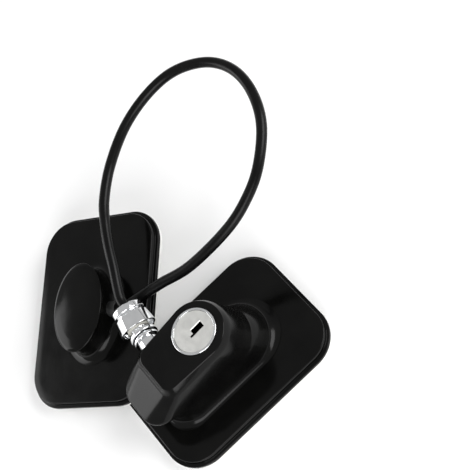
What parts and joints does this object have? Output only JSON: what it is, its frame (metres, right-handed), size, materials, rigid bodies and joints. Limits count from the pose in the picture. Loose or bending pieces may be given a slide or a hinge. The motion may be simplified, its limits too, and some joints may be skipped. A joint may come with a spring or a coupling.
{
  "type": "window restrictor cable",
  "caption": "Window restrictor cable: a keyed lock block and an oval anchor knob, each on a rounded adhesive plate, joined by a sleeved steel cable with a swivel plug.",
  "frame": {"origin": "centre of the lock plate's adhesive face, on the surface that the object lies on", "axes": "+Z away from the adhesive face; +Y along the lock plate towards the key cylinder's end; the plug leaves the block towards -X"},
  "size_m": [0.1169, 0.1397, 0.0535],
  "materials": {
    "black_plastic": "gloss moulded",
    "black_body": "satin to gloss",
    "foam_tape": "matt foam",
    "satin_chrome": "satin",
    "bright_chrome": "polished",
    "pressed_steel": "zinc plated",
    "screw_steel": "plain",
    "spring_steel": "drawn wire",
    "rope_steel": "laid wires",
    "wafer_brass": "stamped",
    "crimp_aluminium": "turned",
    "acetal": "natural",
    "black_rubber": "matt",
    "black_vinyl": "gloss extruded"
  },
  "bodies": {
    "lock": {"lock_plate": "black_plastic", "lock_adhesive_pad": "foam_tape", "lock_body": "black_body", "body_screws": "screw_steel", "cylinder_housing": "satin_chrome", "housing_pin": "spring_steel", "keeper_plate": "pressed_steel", "keeper_screws": "screw_steel", "plug_socket": "bright_chrome", "latch_spring": "spring_steel"},
    "core": {"cylinder_core": "satin_chrome", "wafer_tumblers": "wafer_brass", "wafer_springs": "spring_steel", "cam": "pressed_steel", "cam_screw": "screw_steel"},
    "latch": {"latch_bolt": "pressed_steel"},
    "seal": {"plug_o_ring": "black_rubber"},
    "plug": {"plug_pin": "bright_chrome"},
    "cable_side": {"swivel_seat": "acetal", "swivel_cup": "bright_chrome", "swivel_cap": "bright_chrome", "cable_ferrule": "crimp_aluminium", "wire_rope": "rope_steel", "cable_sleeve": "black_vinyl", "cable_boot": "black_rubber", "cable_stop": "crimp_aluminium", "anchor_knob": "black_plastic", "knob_screws": "screw_steel", "anchor_plate": "black_plastic", "anchor_adhesive_pad": "foam_tape"}
  },
  "joints": [
    {"name": "key_turn", "type": "hinge", "parent": "lock", "child": "core", "pos_m": [0, 0.0006, 0.0315], "axis": [0, -0.0698, 0.9976], "range_deg": [0, 90]},
    {"name": "latch_slide", "type": "slide", "parent": "lock", "child": "latch", "axis": [0, -0.9976, -0.0698], "range_m": [0, 0.0015]},
    {"name": "plug_pull", "type": "slide", "parent": "lock", "child": "seal", "axis": [-0.9986, 0.0522, 0.0037], "range_m": [0, 0.022]},
    {"name": "plug_spin", "type": "hinge", "parent": "seal", "child": "plug", "pos_m": [0, -0.01518, 0.02498], "axis": [-0.9986, 0.0522, 0.0037], "continuous": true},
    {"name": "swivel_tilt", "type": "hinge", "parent": "seal", "child": "cable_side", "pos_m": [-0.02147, -0.01406, 0.02506], "axis": [0, -0.0698, 0.9976], "range_deg": [-8, 0]}
  ],
  "couplings": [
    {"joint": "key_turn", "follows": "latch_slide", "rad_per_m": 1047.2}
  ]
}
